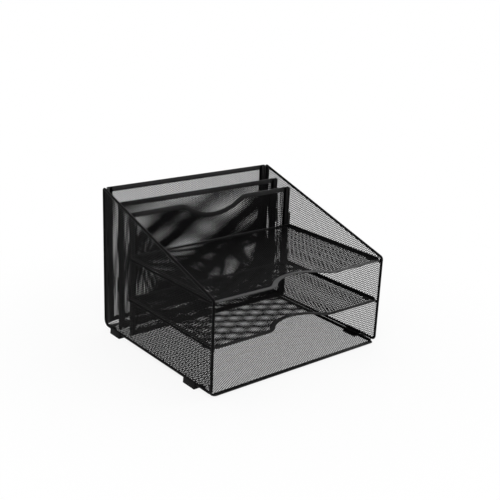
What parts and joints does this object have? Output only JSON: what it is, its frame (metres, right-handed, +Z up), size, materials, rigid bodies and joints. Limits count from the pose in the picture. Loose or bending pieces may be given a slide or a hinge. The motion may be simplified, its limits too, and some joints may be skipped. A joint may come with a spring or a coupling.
{
  "type": "letter tray",
  "caption": "Steel mesh desk organiser with stacked letter trays in front and upright file slots behind, between sloping side panels.",
  "frame": {"origin": "on the desk, in the middle of the footprint", "axes": "+X to the right as seen from the front, +Y from the tray fronts to the back, +Z up"},
  "size_m": [0.3384, 0.2952, 0.2392],
  "materials": {
    "wire_steel": "satin black powder coat on bent wire",
    "border_steel": "satin black powder coat on folded sheet",
    "mesh_steel": "satin black powder coat on expanded mesh",
    "foot_rubber": "matt black moulded rubber"
  },
  "bodies": {
    "root": {"back_panel_hooks": "border_steel", "back_panel_mesh": "mesh_steel", "back_panel_rim": "border_steel", "bottom_tray_front_rim": "border_steel", "bottom_tray_hooks": "border_steel", "bottom_tray_left_rim": "border_steel", "bottom_tray_mesh": "mesh_steel", "bottom_tray_rear_rim": "border_steel", "bottom_tray_right_rim": "border_steel", "front_divider_hooks": "border_steel", "front_divider_mesh": "mesh_steel", "front_divider_rim": "border_steel", "front_left_foot": "foot_rubber", "front_right_foot": "foot_rubber", "left_middle_cross_wire": "wire_steel", "left_side_frame": "wire_steel", "left_side_mesh": "mesh_steel", "left_top_cross_wire": "wire_steel", "middle_tray_front_rim": "border_steel", "middle_tray_hooks": "border_steel", "middle_tray_left_rim": "border_steel", "middle_tray_mesh": "mesh_steel", "middle_tray_rear_rim": "border_steel", "middle_tray_right_rim": "border_steel", "rear_divider_hooks": "border_steel", "rear_divider_mesh": "mesh_steel", "rear_divider_rim": "border_steel", "rear_left_foot": "foot_rubber", "rear_right_foot": "foot_rubber", "right_middle_cross_wire": "wire_steel", "right_side_frame": "wire_steel", "right_side_mesh": "mesh_steel", "right_top_cross_wire": "wire_steel", "top_tray_front_rim": "border_steel", "top_tray_hooks": "border_steel", "top_tray_left_rim": "border_steel", "top_tray_mesh": "mesh_steel", "top_tray_rear_rim": "border_steel", "top_tray_right_rim": "border_steel"}
  },
  "joints": []
}
